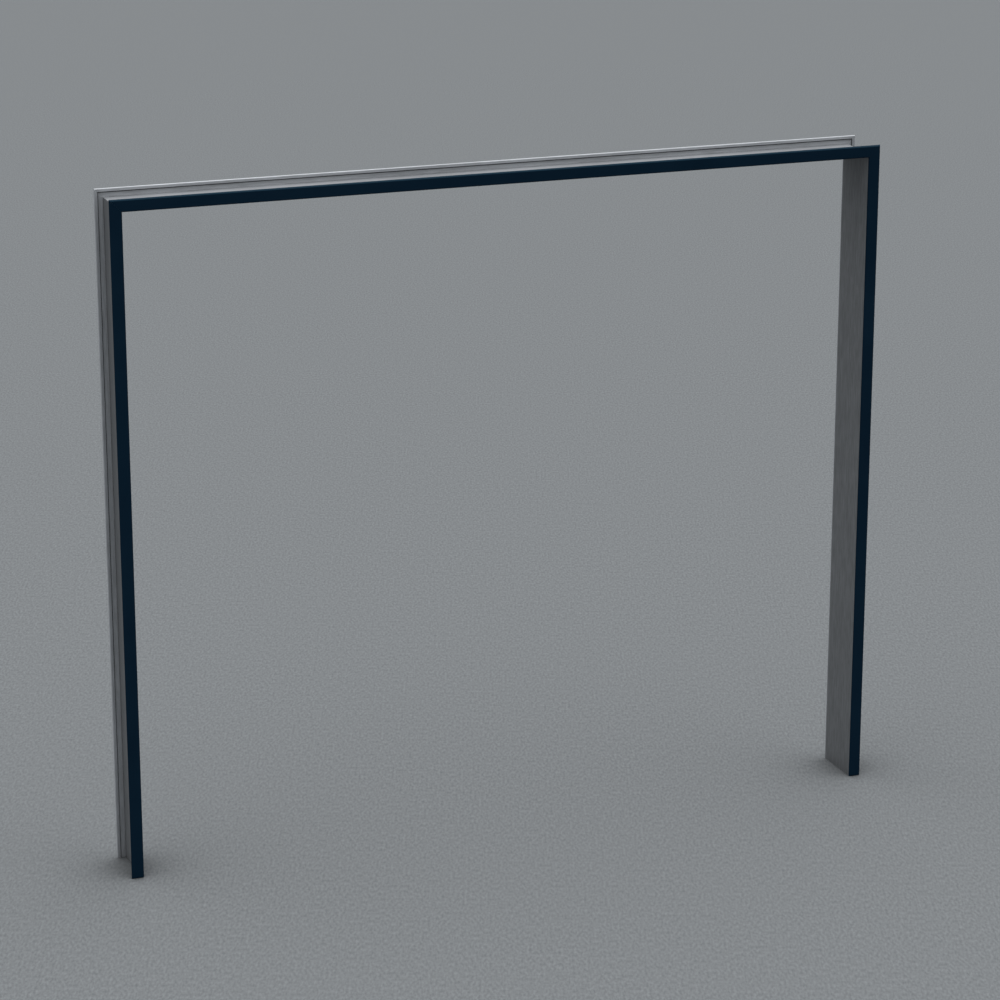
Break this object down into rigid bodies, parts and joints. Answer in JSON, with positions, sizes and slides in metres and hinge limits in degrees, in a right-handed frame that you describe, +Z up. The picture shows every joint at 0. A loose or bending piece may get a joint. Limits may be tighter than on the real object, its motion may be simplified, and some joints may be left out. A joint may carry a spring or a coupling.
{
  "type": "security gate",
  "caption": "Walk-through security portal: a U-shaped doorway lining with a flat front trim, a hollow web for the detection loops, a rimmed rear trim and a service hatch in the soffit.",
  "frame": {"origin": "floor level, middle of the walkway's width and of the frame's depth", "axes": "+Z up, +X to the right seen from the front, -Y towards the viewer, so the painted front trim faces -Y and people walk through along Y"},
  "size_m": [2.58, 0.193, 2.2],
  "materials": {
    "navy_paint": "satin powder coat, dark navy",
    "rear_aluminium": "satin anodised, fine brushed grain along the length",
    "web_aluminium": "dull grey sheet, fine rolled grain",
    "liner_steel": "dark grey, matt, fine brushed grain along the length",
    "zinc_steel": "zinc plated",
    "mill_aluminium": "mill finish, cut edges",
    "black_plastic": "moulded, matt",
    "grey_plastic": "moulded, matt",
    "coil_copper": "enamelled copper winding",
    "board_laminate": "green circuit board with its parts",
    "red_plastic": "moulded, gloss",
    "white_plastic": "moulded, matt",
    "amber_lens": "translucent moulded lens",
    "cable_rubber": "flexible sheath, matt"
  },
  "bodies": {
    "frame": {"front_trim_left": "navy_paint", "front_trim_right": "navy_paint", "front_trim_head": "navy_paint", "rear_trim_left": "rear_aluminium", "rear_trim_right": "rear_aluminium", "rear_trim_head": "rear_aluminium", "web_skin_left": "web_aluminium", "web_skin_right": "web_aluminium", "web_skin_head": "web_aluminium", "web_rails_left": "web_aluminium", "web_rails_right": "web_aluminium", "web_rails_head": "web_aluminium", "liner_left": "liner_steel", "liner_right": "liner_steel", "liner_head": "liner_steel", "liner_tabs_left": "liner_steel", "liner_tabs_right": "liner_steel", "liner_tabs_head": "liner_steel", "corner_key_left": "zinc_steel", "corner_key_right": "zinc_steel", "corner_key_screws": "zinc_steel", "corner_cleats": "mill_aluminium", "corner_cleat_screws": "zinc_steel", "front_trim_screws": "zinc_steel", "rear_trim_screws": "zinc_steel", "foot_block_left": "mill_aluminium", "foot_block_right": "mill_aluminium", "foot_block_screws": "zinc_steel", "liner_clips_left": "black_plastic", "liner_clips_right": "black_plastic", "liner_clips_head": "black_plastic", "antenna_coil_left": "coil_copper", "antenna_coil_right": "coil_copper", "coil_clips_left": "black_plastic", "coil_clips_right": "black_plastic", "tuning_board_left": "board_laminate", "tuning_board_right": "board_laminate", "controller_board": "board_laminate", "board_standoffs": "zinc_steel", "board_screws": "zinc_steel", "terminal_block": "grey_plastic", "isolator_body": "black_plastic", "tamper_switch": "black_plastic", "hinge_brackets": "zinc_steel", "hinge_pins": "zinc_steel", "hinge_rivets": "zinc_steel", "alarm_sounder": "black_plastic", "alarm_lens": "amber_lens", "alarm_led_board": "board_laminate", "harness_left": "cable_rubber", "harness_right": "cable_rubber", "harness_clips": "grey_plastic", "supply_lead": "cable_rubber", "supply_grommet": "cable_rubber"},
    "rocker": {"isolator_rocker": "red_plastic"},
    "tamper": {"tamper_plunger": "white_plastic"},
    "button": {"test_button": "red_plastic"},
    "hatch": {"service_hatch": "liner_steel"},
    "lock_left": {"hatch_lock_left": "zinc_steel"},
    "lock_right": {"hatch_lock_right": "zinc_steel"}
  },
  "joints": [
    {"name": "hatch_hinge", "type": "hinge", "parent": "frame", "child": "hatch", "pos_m": [0, 0.054, 2.1635], "axis": [1, 0, 0], "range_deg": [0, 90]},
    {"name": "lock_left_turn", "type": "hinge", "parent": "hatch", "child": "lock_left", "pos_m": [-0.12, -0.048, 2.16], "axis": [0, 0, -1], "range_deg": [0, 90]},
    {"name": "lock_right_turn", "type": "hinge", "parent": "hatch", "child": "lock_right", "pos_m": [0.12, -0.048, 2.16], "axis": [0, 0, -1], "range_deg": [0, 90]},
    {"name": "tamper_slide", "type": "slide", "parent": "frame", "child": "tamper", "axis": [0, 0, 1], "range_m": [0, 0.001]},
    {"name": "test_press", "type": "slide", "parent": "frame", "child": "button", "axis": [0, 0, 1], "range_m": [0, 0.0004]},
    {"name": "isolator_rock", "type": "hinge", "parent": "frame", "child": "rocker", "pos_m": [-0.181, -0.008, 2.1656], "axis": [0, -1, 0], "range_deg": [0, 16]}
  ]
}
